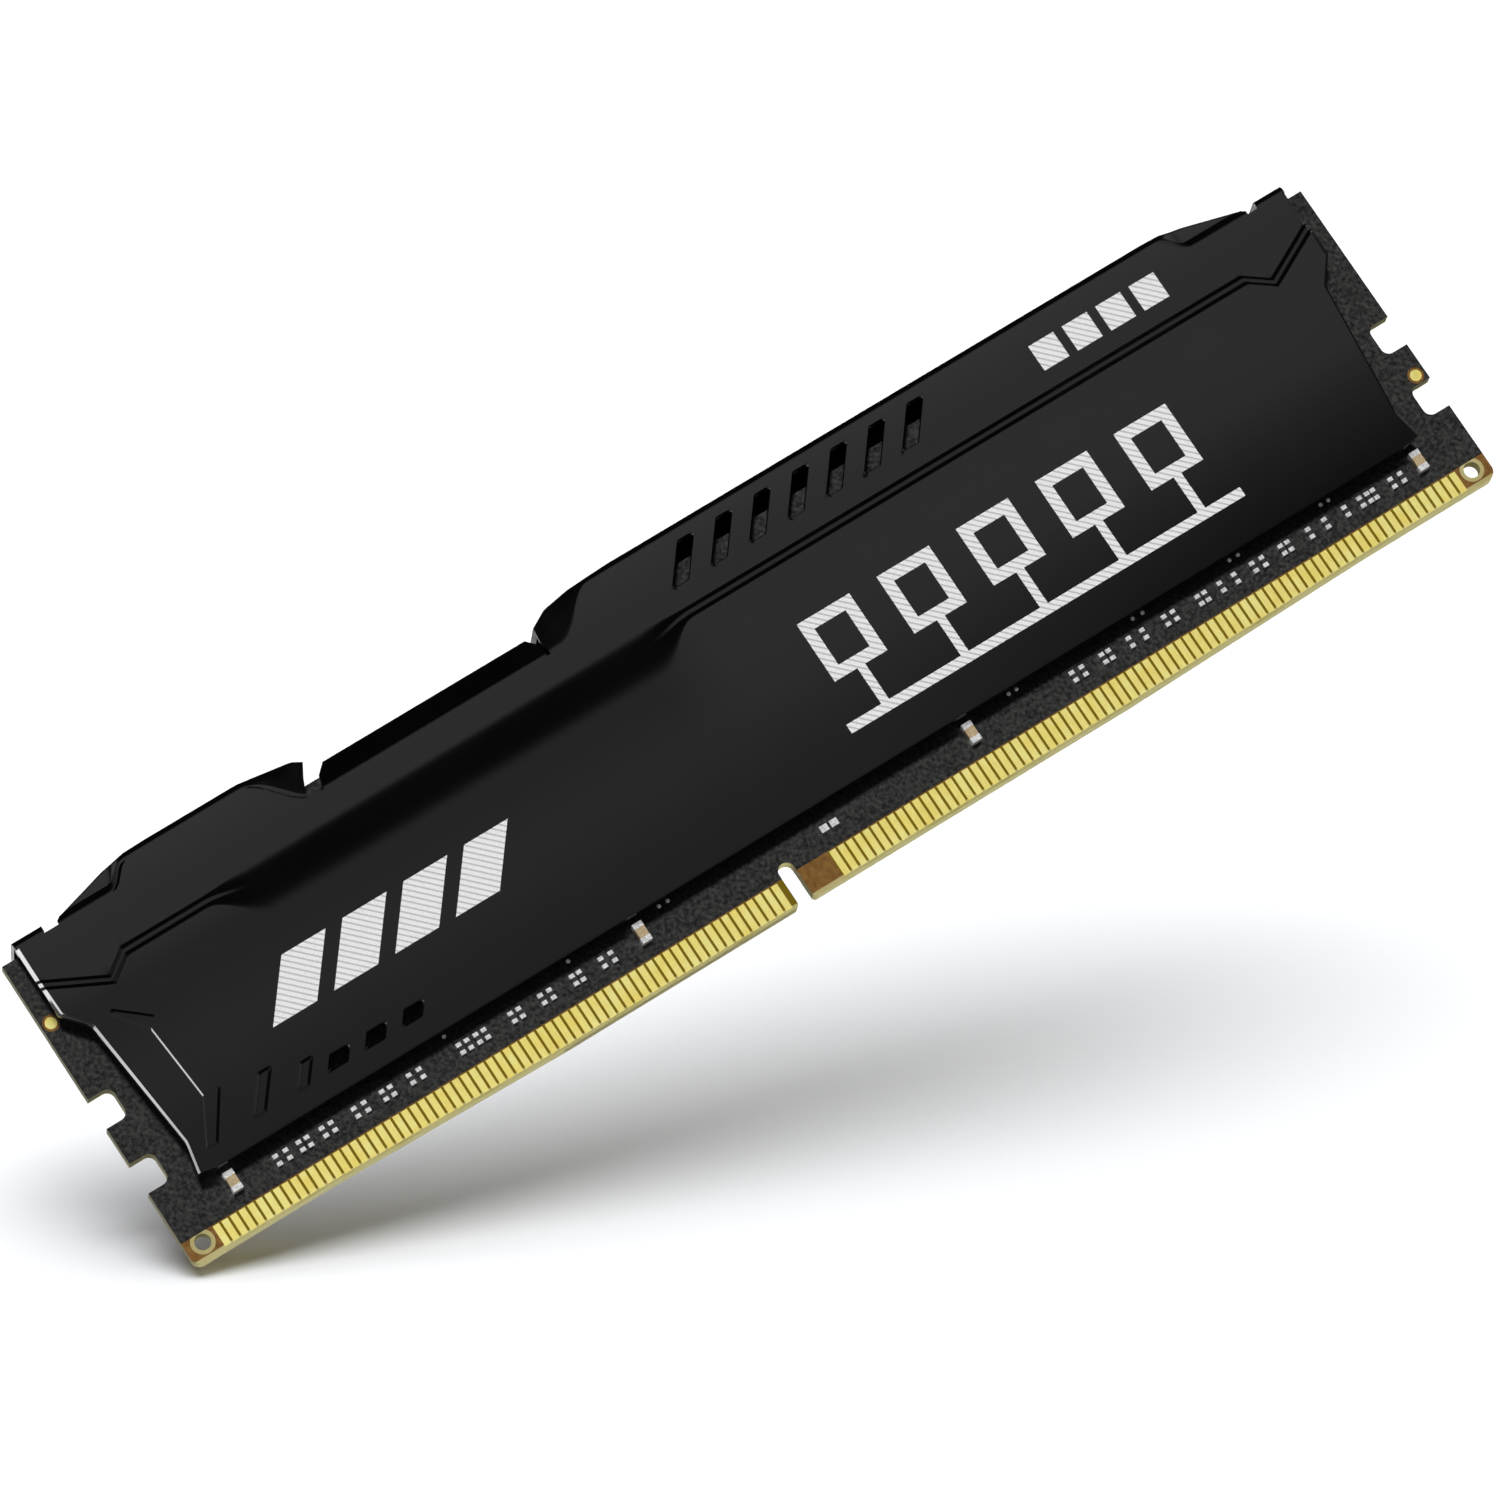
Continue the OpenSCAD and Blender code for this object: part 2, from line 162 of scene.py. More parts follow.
def crease_path(s):
    """Rounded path of (depth, z) points from the main panel up over the crease at s."""
    c = along(CREASE, s)
    w = ease(s, *BEVEL_LEFT) - ease(s, *BEVEL_RIGHT)
    mid = (PANEL_D + FACE_D) / 2
    drop = (0.0, *BEVEL_LEDGE, BEVEL_TOP - BEVEL_BOTTOM)
    heights = [mix(c + STEPS[k], BEVEL_TOP - drop[k], w) for k in range(4)]
    slope = (FACE_D - PANEL_D) / drop[3]
    depths = [PANEL_D, mix(mid, PANEL_D + slope * drop[1], w),
              mix(mid, PANEL_D + slope * drop[2], w), FACE_D]
    corners = list(zip(depths, heights))[::-1]
    below, above = (FACE_D, heights[3] - CREASE_BELOW), (PANEL_D, heights[0] + CREASE_ABOVE)
    foot_r, head_r = (mix(STEP_ROUND, r, w) for r in BEVEL_ROUND)
    return rounded_path([below] + corners + [above], [foot_r, LEDGE_ROUND, LEDGE_ROUND, head_r])


def edge_place(s, z):
    """Moves a place near the spreader's ends in to its slanted end edges."""
    reach = along(EDGE, z) - STRAIGHT_S
    past = abs(s) - STRAIGHT_S
    if past <= 0:
        return s
    return math.copysign(STRAIGHT_S + past * reach / (END_S - STRAIGHT_S), s)


def stations(start, end, step, extra=()):
    """Places from start to end, about step apart, with the extra ones among them."""
    count = max(1, round((end - start) / step))
    places = [mix(start, end, k / count) for k in range(count + 1)]
    near = [e for e in extra if start < e < end]
    kept = [p for p in places if all(abs(p - e) > step * 0.3 for e in near) or p in (start, end)]
    return sorted(set(kept + near))


# ---- Mesh helpers ----

def make_object(name, verts, faces, side=-1, shift=0.0):
    """A mesh from (x, depth, z) points in millimetres, on the front or the back."""
    mesh = bpy.data.meshes.new(name)
    points = [((x + shift) * MM, side * d * MM, z * MM) for x, d, z in verts]
    if side > 0:
        faces = [tuple(reversed(f)) for f in faces]
    mesh.from_pydata(points, [], faces)
    mesh.update()
    obj = bpy.data.objects.new(name, mesh)
    bpy.context.scene.collection.objects.link(obj)
    return obj


def grid_faces(rows, columns):
    """Quads of a grid whose points run column by column inside each row."""
    return [
        (r * columns + c, r * columns + c + 1, (r + 1) * columns + c + 1, (r + 1) * columns + c)
        for r in range(rows - 1)
        for c in range(columns - 1)
    ]


def apply_modifiers(obj, smooth_deg=SMOOTH_DEG):
    """Bakes the modifiers into the mesh and shades it smooth up to an angle."""
    depsgraph = bpy.context.evaluated_depsgraph_get()
    mesh = bpy.data.meshes.new_from_object(obj.evaluated_get(depsgraph))
    obj.modifiers.clear()
    obj.data = mesh
    mesh.shade_smooth()
    mesh.set_sharp_from_angle(angle=math.radians(smooth_deg))


def round_polygon(points, radius, steps=4):
    """Rounds the corners of a polygon of (x, z) points."""
    out = []
    count = len(points)
    for k, p in enumerate(points):
        p = Vector(p)
        before = (Vector(points[k - 1]) - p).normalized()
        after = (Vector(points[(k + 1) % count]) - p).normalized()
        half = before.angle(after) / 2
        reach = min(radius / math.tan(half), 0.45 * (Vector(points[k - 1]) - p).length,
                    0.45 * (Vector(points[(k + 1) % count]) - p).length)
        a, b = p + before * reach, p + after * reach
        for j in range(steps + 1):
            t = j / steps
            out.append(tuple((1 - t) ** 2 * a + 2 * t * (1 - t) * p + t * t * b))
    return out


def inset(points, distance):
    """Moves every edge of a polygon inwards (outwards if negative); edges facing left move less."""
    area = sum(a[0] * b[1] - b[0] * a[1] for a, b in zip(points, points[1:] + points[:1]))
    turn = 1 if area > 0 else -1
    count = len(points)
    out = []
    for k in range(count):
        p = Vector(points[k])
        e0 = (p - Vector(points[k - 1])).normalized()
        e1 = (Vector(points[(k + 1) % count]) - p).normalized()
        n0 = turn * Vector((-e0.y, e0.x))
        n1 = turn * Vector((-e1.y, e1.x))
        d0, d1 = (distance * (STEEP if n.x > LEFT_FACING else 1.0) for n in (n0, n1))
        c = n0.dot(n1)
        spread = max(0.1, 1 - c * c)
        out.append(tuple(p + n0 * ((d0 - c * d1) / spread) + n1 * ((d1 - c * d0) / spread)))
    return out


def loft(outline, radius, levels):
    """Points and faces of a capped solid: one ring of the outline for each (inset, depth)."""
    verts, faces = [], []
    for distance, depth in levels:
        ring = round_polygon(inset(outline, distance), radius)
        verts += [(x, depth, z) for x, z in ring]
    count = len(ring)
    for level in range(len(levels) - 1):
        low, high = level * count, (level + 1) * count
        for k in range(count):
            n = (k + 1) % count
            faces.append((low + k, low + n, high + n, high + k))
    last = len(verts) - count
    faces += [tuple(range(count - 1, -1, -1)), tuple(range(last, last + count))]
    area = sum(a[0] * b[1] - b[0] * a[1] for a, b in zip(outline, outline[1:] + outline[:1]))
    if area < 0:
        faces = [tuple(reversed(f)) for f in faces]
    return verts, faces


def joined(parts):
    """Several (verts, faces) lists as one."""
    verts, faces = [], []
    for v, f in parts:
        faces += [tuple(i + len(verts) for i in face) for face in f]
        verts += v
    return verts, faces


def slanted(x, z, w, h):
    return [(x, z), (x + w, z), (x + w + SLANT * h, z + h), (x + SLANT * h, z + h)]


# ---- Heat spreader ----

def shell(outer, inner, rows, columns):
    """A closed sheet between two grids of points, with a rim round it."""
    quads = grid_faces(rows, columns)
    base = rows * columns
    faces = quads + [tuple(base + i for i in reversed(q)) for q in quads]
    rim = [c for c in range(columns)]
    rim += [r * columns + columns - 1 for r in range(1, rows)]
    rim += [(rows - 1) * columns + c for c in range(columns - 2, -1, -1)]
    rim += [r * columns for r in range(rows - 2, 0, -1)]
    for a, b in zip(rim, rim[1:] + rim[:1]):
        faces.append((b, a, base + a, base + b))
    return outer + inner, faces


def panel_column(s):
    """Points (depth, z) up the upright sheet at s, from its bottom edge to the bend."""
    crease = crease_path(s)
    start, top = BOTTOM + BOTTOM_BEVEL, fold_z(s) - BEND
    low = [(FACE_D, mix(start, crease[0].y, k / LOW_ROWS)) for k in range(LOW_ROWS)]
    high = [(PANEL_D, mix(crease[-1].y, top, k / HIGH_ROWS)) for k in range(1, HIGH_ROWS + 1)]
    return [(FACE_D, BOTTOM)] + low + [tuple(p) for p in crease] + high


def panel_sheet(name, side):
    """The upright sheet: main panel, stepped crease and upper panel, up to the bend."""
    bends = [s for s, z in CREASE[1:-1]]
    bevel_s = END_S - SIDE_BEVEL
    ends = [e * k for k in (bevel_s, bevel_s - BEVEL_NEAR) for e in (-1, 1)]
    extra = bends + [b + e for b in bends for e in (-CORNER_NEAR, CORNER_NEAR)] + ends
    places = stations(-END_S, END_S, STATION_STEP, extra)
    columns = [panel_column(s) for s in places]
    rows = len(columns[0])
    outer, inner = [], []
    for r in range(rows):
        for s, column in zip(places, columns):
            depth, z = column[r]
            x = edge_place(s, z)
            lift = max(0.0, abs(x) - CORNER_S) * (EDGE[0][0] - BOTTOM) / (EDGE[0][1] - CORNER_S)
            reach = abs(edge_place(END_S, z)) - STRAIGHT_S
            past = (SIDE_BEVEL - END_S + abs(s)) * reach / (END_S - STRAIGHT_S)
            drop = max(0.0, past, BOTTOM + BOTTOM_BEVEL - z)
            z = max(z, BOTTOM + lift)
            outer.append((x, depth - drop, z))
            inner.append((x, depth - SHEET_T, z))
    verts, faces = shell(outer, inner, rows, len(places))
    return make_object(name, verts, faces, side, SHIFT)


def rounded_path(points, radii, steps=4):
    """A path of (depth, z) points whose inner corners are rounded, always as many points."""
    out = [Vector(points[0])]
    for k in range(1, len(points) - 1):
        p, a, b = Vector(points[k]), Vector(points[k - 1]), Vector(points[k + 1])
        reach_a = min(radii[k - 1], 0.48 * (a - p).length)
        reach_b = min(radii[k - 1], 0.48 * (b - p).length)
        a = p + (a - p).normalized() * reach_a if (a - p).length > 1e-6 else p
        b = p + (b - p).normalized() * reach_b if (b - p).length > 1e-6 else p
        for j in range(steps + 1):
            t = j / steps
            out.append((1 - t) ** 2 * a + 2 * t * (1 - t) * p + t * t * b)
    out.append(Vector(points[-1]))
    return out


def fold_path(s, ridge, ramp, roof_d):
    """The folded edge's path at s, from the upper panel over the ridge to the seam."""
    bend = fold_z(s)
    top = max(ridge, bend + MIN_RISE)
    foot = min(bend + WALL_FOOT, mix(bend, top, STEP_SHARE))
    ridge_d = mix(roof_d, WALL_D + WALL_LEAN * (top - foot), ramp)
    step = (mix((PANEL_D + ridge_d) / 2, WALL_D, ramp), mix((bend + top) / 2, foot, ramp))
    points = [(PANEL_D, bend - BEND), (PANEL_D, bend), step, (ridge_d, top), (SEAM_D, top)]
    return rounded_path(points, [BEND * 0.95, STEP_R, RIDGE_R])


def flange(left, right, ridge, ramp, roof_d=ROOF_D):
    """A stretch of folded edge. left and right give its end places at the bend and at the ridge."""
    count = max(6, round((right[0] - left[0]) / FLANGE_STEP))
    columns = []
    for k in range(count + 1):
        u = k / count
        middle = mix(mix(left[0], left[-1], 0.5), mix(right[0], right[-1], 0.5), u)
        path = fold_path(middle, ridge(middle), ramp(middle), roof_d)
        low, high = path[2].y, path[-1].y
        column = []
        for p in path:
            q = min(1.0, max(0.0, (p.y - low) / (high - low))) if high - low > 0.05 else 0.0
            spread = [(j / (len(left) - 1), v) for j, v in enumerate(left)]
            a = along(spread, q)
            b = along([(j / (len(right) - 1), v) for j, v in enumerate(right)], q)
            column.append((mix(a, b, u), p.x, p.y))
        columns.append(column)
    rows = len(columns[0])
    verts = [columns[c][r] for r in range(rows) for c in range(count + 1)]
    return verts, grid_faces(rows, count + 1)


def folded_edge(name, side):
    """All five stretches of the folded top edge, with relief gaps between them."""
    def none(s):
        return 0.0

    def left_ramp(s):
        return 1 - ease(s, -RAMP[1], -RAMP[0])

    def right_ramp(s):
        return ease(s, *RAMP)

    parts = [
        flange([-65.0, -65.0], [-62.2, -62.0], lambda s: TAB_RIDGE, none),
        flange([-60.7, -60.2], [-36.9, -36.3, -35.5], lambda s: along(RIDGE_LEFT, s), left_ramp),
        flange([-35.3, -35.0, -33.9], [-12.8, -12.8, -13.5], lambda s: DIP_RIDGE, none, DIP_ROOF_D),
        flange([-12.4, -12.6, -12.4], [61.1, 61.0], lambda s: along(RIDGE_RIGHT, s), right_ramp),
        flange([62.1, 62.2], [65.0, 65.0], lambda s: TAB_RIDGE, none),
    ]
    verts, faces = joined(parts)
    obj = make_object(name, verts, faces, side, SHIFT)
    solid = obj.modifiers.new("sheet", "SOLIDIFY")
    solid.thickness = FLANGE_T * MM
    solid.offset = -1
    solid.use_even_offset = True
    return obj


def pressed_marks(name, side):
    """The bent rib and the two raised bars, with sloping sides and softened top edges."""
    rib = loft(RIB, MARK_R, [(x, FACE_D + rise) for x, rise in RIB_LEVELS])
    bar_levels = [(x, FACE_D + rise) for x, rise in BAR_LEVELS]
    bars = [loft(slanted(s, BAR_Z, w, h), MARK_R, bar_levels) for s, w, h in BARS]
    verts, faces = joined([rib] + bars)
    return make_object(name, verts, faces, side, SHIFT)


def cutters(name, side):
    """Tools for the small windows and the vents, each with a flared mouth."""
    window, slot = ([(0.0, d - CUT_DEPTH), (0.0, d - flare), (-flare, d + CUT_PAST)]
                    for d, flare in ((FACE_D, WINDOW_FLARE), (PANEL_D, VENT_FLARE)))
    parts = []
    for k in range(WINDOW["count"]):
        mouth = slanted(WINDOW["start"] + k * WINDOW["pitch"], WINDOW_Z, WINDOW["w"], WINDOW["h"])
        parts.append(loft(mouth, WINDOW_R, window))
    for k in range(VENT["count"] if side < 0 else 0):
        mouth = slanted(VENT["start"] + k * VENT["pitch"], VENT["z"], VENT["w"], VENT["h"])
        parts.append(loft(mouth, VENT_R, slot))
    verts, faces = joined(parts)
    return make_object(name, verts, faces, side, SHIFT)


def build_spreader(name, side):
    """One stamped sheet as a single piece in place of its CAD node."""
    panel = panel_sheet(f"panel_{name}", side)
    apply_modifiers(panel)
    tool = cutters(f"cut_{name}", side)
    cut = panel.modifiers.new("cut", "BOOLEAN")
    cut.operation = "DIFFERENCE"
    cut.solver = "EXACT"
    cut.object = tool
    apply_modifiers(panel)
    bpy.data.objects.remove(tool)
    others = [folded_edge(f"fold_{name}", side), pressed_marks(f"marks_{name}", side)]
    for obj in others:
        apply_modifiers(obj)
    merged = merge_objects([panel] + others, f"spreader_{name}")
    flat = merged.modifiers.new("flat", "WEIGHTED_NORMAL")
    flat.keep_sharp = True
    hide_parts(f"heat_spreader_{name}")
    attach(merged, "root")
    return merged


def merge_objects(objects, name):
    """Joins finished meshes into the first object."""
    with bpy.context.temp_override(active_object=objects[0], selected_editable_objects=objects,
                                   selected_objects=objects, object=objects[0]):
        bpy.ops.object.join()
    objects[0].name = name
    return objects[0]


# ---- Materials ----

# Specular levels of the spreader paint, holding painted reflection and painted shade: the
# reflections brighten with height, and painted shade darkens the bottom right and a band across the
# left half.
GLOSS_AND_PAINTED_SHEEN_STOPS = [(0.24, 0.25), (0.34, 0.26), (0.5, 0.325), (0.66, 0.355), (0.78, 0.35), (0.83, 0.34),
               (0.9, 0.365), (0.98, 0.43)]
CORNER_PAINTED_SHADE = -0.68
LEFT_PAINTED_SHADE = -0.34

HOLE = {"x": 65.025, "z": 2.05, "ring": 1.08}
BOARD_HALF = 66.675
RIM_H = 0.36
CONTACTS = {"top": 2.75, "end": 63.5}
BARE = {"x": -3.3, "half": 1.6}
SMALL_BEVEL = 0.05
RESISTOR_BEVEL = 0.12

def material(name, color, roughness, metallic=0.0):
    mat = bpy.data.materials.new(name)
    mat.use_nodes = True
    shader = mat.node_tree.nodes["Principled BSDF"]
    shader.inputs["Base Color"].default_value = (*color, 1)
    shader.inputs["Roughness"].default_value = roughness
    shader.inputs["Metallic"].default_value = metallic
    return mat, mat.node_tree, shader


def add(tree, kind, links=None, **values):
    """A new node. values set its sockets or its own settings; links joins sockets to it."""
    node = tree.nodes.new(kind)
    for key, value in values.items():
        if hasattr(node, key):
            setattr(node, key, value)
        else:
            node.inputs[key.replace("_", " ")].default_value = value
    for key, source in (links or {}).items():
        tree.links.new(source, node.inputs[key])
    return node


def millimetres(tree, stretch=(1, 1, 1)):
    """Object coordinates in millimetres, squeezed along an axis by its stretch."""
    place = tree.nodes.new("ShaderNodeTexCoord")
    scale = add(tree, "ShaderNodeVectorMath", {0: place.outputs["Object"]}, operation="MULTIPLY")
    scale.inputs[1].default_value = [1 / MM / k for k in stretch]
    return scale.outputs[0]


def noise(tree, per_mm, detail=3.0, stretch=(1, 1, 1), roughness=0.5):
    node = add(tree, "ShaderNodeTexNoise", {"Vector": millimetres(tree, stretch)})
    node.inputs["Scale"].default_value = per_mm
    node.inputs["Detail"].default_value = detail
    node.inputs["Roughness"].default_value = roughness
    return node.outputs["Fac"]


def ramp(tree, factor, stops):
    """A colour ramp from (position, colour) stops; a colour may be one grey value."""
    node = add(tree, "ShaderNodeValToRGB", {"Fac": factor})
    while len(node.color_ramp.elements) < len(stops):
        node.color_ramp.elements.new(0.5)
    for element, (position, color) in zip(node.color_ramp.elements, stops):
        element.position = position
        element.color = (*color, 1) if isinstance(color, tuple) else (color, color, color, 1)
    return node.outputs["Color"]


def math_node(tree, operation, a, b=None, clamp=False):
    node = tree.nodes.new("ShaderNodeMath")
    node.operation = operation
    node.use_clamp = clamp
    for index, value in enumerate((a, b)):
        if value is None:
            continue
        if isinstance(value, (int, float)):
            node.inputs[index].default_value = value
        else:
            tree.links.new(value, node.inputs[index])
    return node.outputs[0]


def blend_colors(tree, factor, a, b, mode="MIX"):
    node = tree.nodes.new("ShaderNodeMix")
    node.data_type = "RGBA"
    node.blend_type = mode
    for socket, value in ((node.inputs[0], factor), (node.inputs[6], a), (node.inputs[7], b)):
        if isinstance(value, (int, float)):
            socket.default_value = value
        elif isinstance(value, tuple):
            socket.default_value = (*value, 1)
        else:
            tree.links.new(value, socket)
    return node.outputs[2]


def bump(tree, shader, height, strength, distance_mm):
    node = add(tree, "ShaderNodeBump", {"Height": height}, Strength=strength,
               Distance=distance_mm * MM)
    tree.links.new(node.outputs["Normal"], shader.inputs["Normal"])


def spreader_paint():
    """Satin black powder coat with a fine grain.

    The gloss varies over the sheet, by numbers tuned until the tones agreed with the photo's, so
    it holds painted reflection and painted shade. It rises towards the top, fades at the bottom
    right and dips across the left half. Real paint has one gloss.
    """
    mat, tree, shader = material("spreader_paint", (0.0015, 0.0015, 0.0015), 0.2)
    cloud = noise(tree, 0.16, 2.0)
    grain = noise(tree, 9.0, 2.0)
    tree.links.new(ramp(tree, cloud, [(0.3, 0.0006), (0.7, 0.0011)]), shader.inputs["Base Color"])
    tree.links.new(ramp(tree, grain, [(0.25, 0.17), (0.75, 0.22)]), shader.inputs["Roughness"])
    bump(tree, shader, grain, 0.15, 0.006)
    place = add(tree, "ShaderNodeSeparateXYZ", {0: millimetres(tree)})
    height = math_node(tree, "DIVIDE", place.outputs["Z"], TOP)
    # Painted shade: less specular reflection low down, most of all towards the bottom right.
    low_painted_shade = ramp(tree, height, [(0.2, 1.0), (0.5, 0.0)])
    to_right = math_node(tree, "DIVIDE", place.outputs["X"], END_S)
    right = ramp(tree, to_right, [(0.1, 0.3), (0.75, 1.0)])
    corner_painted_shade = math_node(tree, "MULTIPLY", math_node(tree, "MULTIPLY", low_painted_shade, right), CORNER_PAINTED_SHADE)
    # Painted shade: a band across the left half with less specular reflection.
    to_left = math_node(tree, "DIVIDE", place.outputs["X"], -END_S)
    left = ramp(tree, to_left, [(0.0, 0.0), (0.1, 1.0)])
    middle = ramp(tree, height, [(0.4, 0.0), (0.62, 1.0), (0.7, 1.0), (0.78, 0.0)])
    left_painted_shade = math_node(tree, "MULTIPLY", math_node(tree, "MULTIPLY", left, middle), LEFT_PAINTED_SHADE)
    # Painted reflection on top of the paint's own gloss: the specular level rises with height.
    body = ramp(tree, height, GLOSS_AND_PAINTED_SHEEN_STOPS)
    body = math_node(tree, "MULTIPLY", body, math_node(tree, "ADD", left_painted_shade, 1.0))
    gloss = math_node(tree, "MULTIPLY", body, math_node(tree, "ADD", corner_painted_shade, 1.0))
    tree.links.new(gloss, shader.inputs["Specular IOR Level"])
    return mat


def solder_mask():
    """Black satin mask over copper, mottled by the tracks, vias and glass weave below it."""
    mat, tree, shader = material("solder_mask", (0.03, 0.03, 0.03), 0.45)
    shader.inputs["Specular IOR Level"].default_value = 0.04
    place = millimetres(tree)
    waves = add(tree, "ShaderNodeTexWave", {"Vector": place}, bands_direction="DIAGONAL", Scale=0.8,
                Distortion=3.0)
    tracks = ramp(tree, waves.outputs["Fac"], [(0.35, 0.3), (0.65, 0.6)])
    dots = add(tree, "ShaderNodeTexVoronoi", {"Vector": place}, Scale=1.3)
    vias = ramp(tree, dots.outputs["Distance"], [(0.12, 1.0), (0.2, 0.3)])
    patch = ramp(tree, noise(tree, 0.45, 2.0), [(0.45, 0.0), (0.55, 1.0)])
    mottle = ramp(tree, noise(tree, 2.6, 5.0, (1, 1, 1), 0.7), [(0.35, 0.0), (0.65, 1.0)])
    lines = blend_colors(tree, 0.65, blend_colors(tree, patch, vias, tracks), mottle)
    tree.links.new(ramp(tree, lines, [(0.2, (0.012, 0.012, 0.012)), (0.8, (0.056, 0.056, 0.054))]),
                   shader.inputs["Base Color"])
    bump(tree, shader, lines, 0.3, 0.02)
    return mat


def gold():
    """Hard gold plating: warm, bright, with faint lengthwise rubbing marks."""
    mat, tree, shader = material("gold", (0.95, 0.68, 0.22), 0.3, 0.9)
    streaks = noise(tree, 12.0, 3.0, (1, 1, 8))
    cloud = noise(tree, 0.7, 2.0)
    tree.links.new(ramp(tree, cloud, [(0.3, (0.97, 0.80, 0.20)), (0.7, (1.0, 0.92, 0.33))]),
                   shader.inputs["Base Color"])
    tree.links.new(ramp(tree, streaks, [(0.3, 0.24), (0.7, 0.42)]), shader.inputs["Roughness"])
    bump(tree, shader, streaks, 0.3, 0.01)
    return mat


def ring_mask(tree, place):
    """1 on a ring round each corner hole, 0 elsewhere."""
    across = math_node(tree, "SUBTRACT", math_node(tree, "ABSOLUTE", place.outputs["X"]), HOLE["x"])
    up = math_node(tree, "SUBTRACT", place.outputs["Z"], HOLE["z"])
    flat = add(tree, "ShaderNodeCombineXYZ", {0: across, 1: up})
    away = add(tree, "ShaderNodeVectorMath", {0: flat.outputs[0]}, operation="LENGTH")
    return math_node(tree, "LESS_THAN", away.outputs["Value"], HOLE["ring"])


def rim_mask(tree, place):
    """1 on the bare strip below the contacts, which follows the bowed contact edge."""
    away = math_node(tree, "ABSOLUTE", place.outputs["X"])
    along_board = math_node(tree, "DIVIDE", away, BOARD_HALF)
    bottom = ramp(tree, along_board, [(0.43, 0.0), (0.8, 0.5)])
    rise = math_node(tree, "SUBTRACT", place.outputs["Z"], bottom)
    return math_node(tree, "LESS_THAN", rise, RIM_H)


def gap_mask(tree, place):
    """1 between the contacts, 0 in the corners and right of the key slot."""
    low = math_node(tree, "LESS_THAN", place.outputs["Z"], CONTACTS["top"])
    away = math_node(tree, "ABSOLUTE", place.outputs["X"])
    inside = math_node(tree, "LESS_THAN", away, CONTACTS["end"])
    off_key = math_node(tree, "ABSOLUTE", math_node(tree, "ADD", place.outputs["X"], -BARE["x"]))
    return math_node(tree, "MULTIPLY", math_node(tree, "MULTIPLY", low, inside),
                     math_node(tree, "GREATER_THAN", off_key, BARE["half"]))


def laminate():
    """Glass-fibre board: olive brown on its bare faces, tan and layered on its cut edges."""
    mat, tree, shader = material("laminate", (0.5, 0.45, 0.2), 0.55)
    shader.inputs["Specular IOR Level"].default_value = 0.15
    geometry = tree.nodes.new("ShaderNodeNewGeometry")
    split = add(tree, "ShaderNodeSeparateXYZ", {0: geometry.outputs["Normal"]})
    is_face = math_node(tree, "GREATER_THAN", math_node(tree, "ABSOLUTE", split.outputs["Y"]), 0.7)
    layers = noise(tree, 3.5, 3.0, (14, 0.5, 14))
    edge = ramp(tree, layers, [(0.3, (0.44, 0.40, 0.15)), (0.6, (0.60, 0.55, 0.26))])
    weave = noise(tree, 2.2, 3.0)
    face = ramp(tree, weave, [(0.3, (0.14, 0.066, 0.015)), (0.7, (0.24, 0.122, 0.034))])
    place = add(tree, "ShaderNodeSeparateXYZ", {0: millimetres(tree)})
    face = blend_colors(tree, gap_mask(tree, place), face, (0.16, 0.11, 0.004))
    pale = math_node(tree, "MAXIMUM", ring_mask(tree, place), rim_mask(tree, place))
    face = blend_colors(tree, pale, face, blend_colors(tree, 0.75, face, edge))
    tree.links.new(blend_colors(tree, is_face, edge, face), shader.inputs["Base Color"])
    bump(tree, shader, layers, 0.4, 0.03)
    return mat


def package():
    """Moulded epoxy with a fine matt grain."""
    mat, tree, shader = material("package", (0.012, 0.012, 0.013), 0.6)
    grain = noise(tree, 14.0, 3.0)
    tree.links.new(ramp(tree, grain, [(0.3, 0.008), (0.7, 0.016)]), shader.inputs["Base Color"])
    tree.links.new(ramp(tree, grain, [(0.3, 0.5), (0.7, 0.7)]), shader.inputs["Roughness"])
    bump(tree, shader, grain, 0.4, 0.015)
    return mat


def thermal_pad():
    """Soft gap pad: waxy grey with pale filler specks."""
    mat, tree, shader = material("thermal_pad", (0.3, 0.32, 0.36), 0.75)
    specks = noise(tree, 7.0, 4.0)
    tree.links.new(ramp(tree, specks, [(0.35, (0.20, 0.21, 0.25)), (0.7, (0.36, 0.38, 0.43))]),
                   shader.inputs["Base Color"])
    bump(tree, shader, specks, 0.5, 0.05)
    return mat


def resistor_body():
    mat, tree, shader = material("resistor_body", (0.012, 0.012, 0.013), 0.35)
    grain = noise(tree, 10.0, 3.0)
    tree.links.new(ramp(tree, grain, [(0.3, 0.008), (0.7, 0.02)]), shader.inputs["Base Color"])
    bump(tree, shader, grain, 0.3, 0.01)
    return mat


def tin():
    """Reflowed solder: bright, a little lumpy and mottled."""
    mat, tree, shader = material("tin", (0.82, 0.82, 0.8), 0.32, 0.85)
    lumps = noise(tree, 5.0, 3.0)
    tree.links.new(ramp(tree, lumps, [(0.3, 0.6), (0.65, 0.95)]), shader.inputs["Base Color"])
    tree.links.new(ramp(tree, lumps, [(0.3, 0.45), (0.7, 0.25)]), shader.inputs["Roughness"])
    bump(tree, shader, lumps, 0.5, 0.05)
    return mat


def capacitor_body():
    mat, tree, shader = material("capacitor_body", (0.45, 0.34, 0.2), 0.5)
    specks = noise(tree, 8.0, 3.0)
    tree.links.new(ramp(tree, specks, [(0.3, (0.36, 0.26, 0.14)), (0.7, (0.55, 0.44, 0.27))]),
                   shader.inputs["Base Color"])
    bump(tree, shader, specks, 0.3, 0.02)
    return mat


